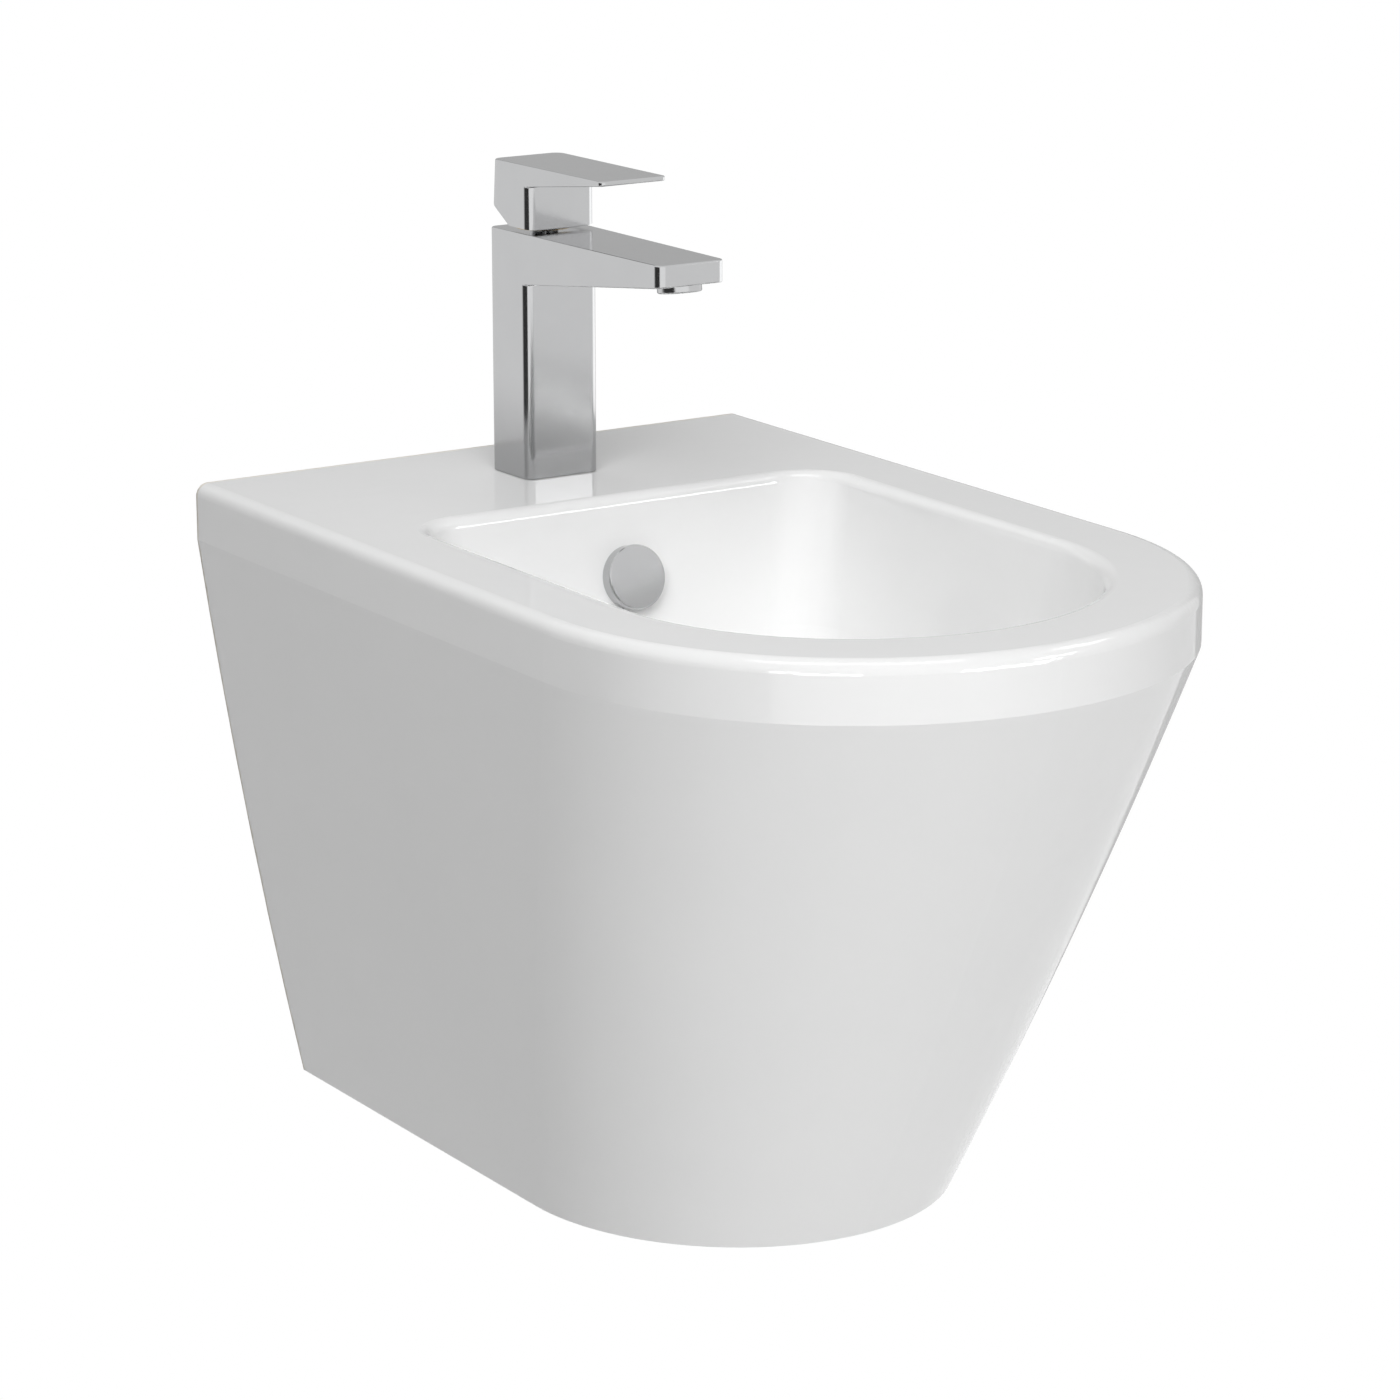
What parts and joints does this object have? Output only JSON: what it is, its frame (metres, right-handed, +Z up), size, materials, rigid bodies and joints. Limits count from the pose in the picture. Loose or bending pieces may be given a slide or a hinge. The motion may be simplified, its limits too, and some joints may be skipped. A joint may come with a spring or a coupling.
{
  "type": "wall-hung bidet",
  "caption": "Wall-hung ceramic bidet with a D-shaped rim, a deep bowl with overflow, a push plug waste and a block-shaped chrome mixer tap whose lever lifts and turns.",
  "frame": {"origin": "midway between the two wall studs, on the ceramic's back face", "axes": "+X across, +Y into the wall, -Y to the front, +Z up"},
  "size_m": [0.355, 0.6, 0.5201],
  "materials": {
    "glaze": "glossy white glaze",
    "chrome": "polished",
    "brass": "machined",
    "steel": "zinc plated",
    "black_rubber": "matte",
    "white_plastic": "moulded",
    "grey_plastic": "moulded",
    "disc_ceramic": "lapped"
  },
  "bodies": {
    "basin": {"ceramic_body": "glaze", "overflow_cover": "chrome", "waste_body": "chrome", "tap_body": "chrome", "nozzle_collar": "chrome", "waste_nut": "brass", "click_barrel": "brass", "cartridge_nut": "brass", "wall_studs": "steel", "stud_washers": "steel", "stud_nuts": "steel", "click_spring": "steel", "tap_stud": "steel", "tap_clamp_washer": "steel", "tap_nut": "steel", "waste_flange_seal": "black_rubber", "waste_under_seal": "black_rubber", "tap_base_seal": "black_rubber", "tap_rubber_washer": "black_rubber", "cartridge_seals": "black_rubber", "nozzle_gasket": "black_rubber", "stud_sleeves": "white_plastic", "overflow_insert": "white_plastic", "cartridge_base": "white_plastic", "cartridge_housing": "white_plastic", "fixed_disc": "disc_ceramic"},
    "rotor": {"lever_guide": "white_plastic", "lever_pin": "steel"},
    "lever": {"lever_stem": "steel", "handle": "chrome", "handle_screw": "steel", "screw_cap": "grey_plastic"},
    "disc": {"moving_disc": "disc_ceramic", "disc_driver": "white_plastic"},
    "plug": {"plug_stem": "brass", "plug_cap": "chrome", "plug_seal": "black_rubber"},
    "jet_ring": {"jet_seat": "grey_plastic"},
    "jet": {"jet_ball": "grey_plastic", "jet_screen": "grey_plastic"}
  },
  "joints": [
    {"name": "handle_turn", "type": "hinge", "parent": "basin", "child": "rotor", "pos_m": [0, -0.0735, 0.2217], "axis": [0, 0, 1], "range_deg": [-45, 45]},
    {"name": "handle_lift", "type": "hinge", "parent": "rotor", "child": "lever", "pos_m": [0, -0.0735, 0.2217], "axis": [-1, 0, 0], "range_deg": [0, 24]},
    {"name": "disc_slide", "type": "slide", "parent": "rotor", "child": "disc", "axis": [0, -1, 0], "range_m": [0, 0.004]},
    {"name": "waste_plug", "type": "slide", "parent": "basin", "child": "plug", "axis": [0, 0, 1], "range_m": [0, 0.008], "deforming": ["click_spring"]},
    {"name": "jet_turn", "type": "hinge", "parent": "basin", "child": "jet_ring", "pos_m": [0, -0.20876, 0.21373], "axis": [0, 0.1272, 0.9919], "continuous": true},
    {"name": "jet_tilt", "type": "hinge", "parent": "jet_ring", "child": "jet", "pos_m": [0, -0.20876, 0.21373], "axis": [1, 0, 0], "range_deg": [-12, 12]}
  ],
  "couplings": [
    {"joint": "disc_slide", "follows": "handle_lift", "m_per_rad": 0.009516}
  ]
}
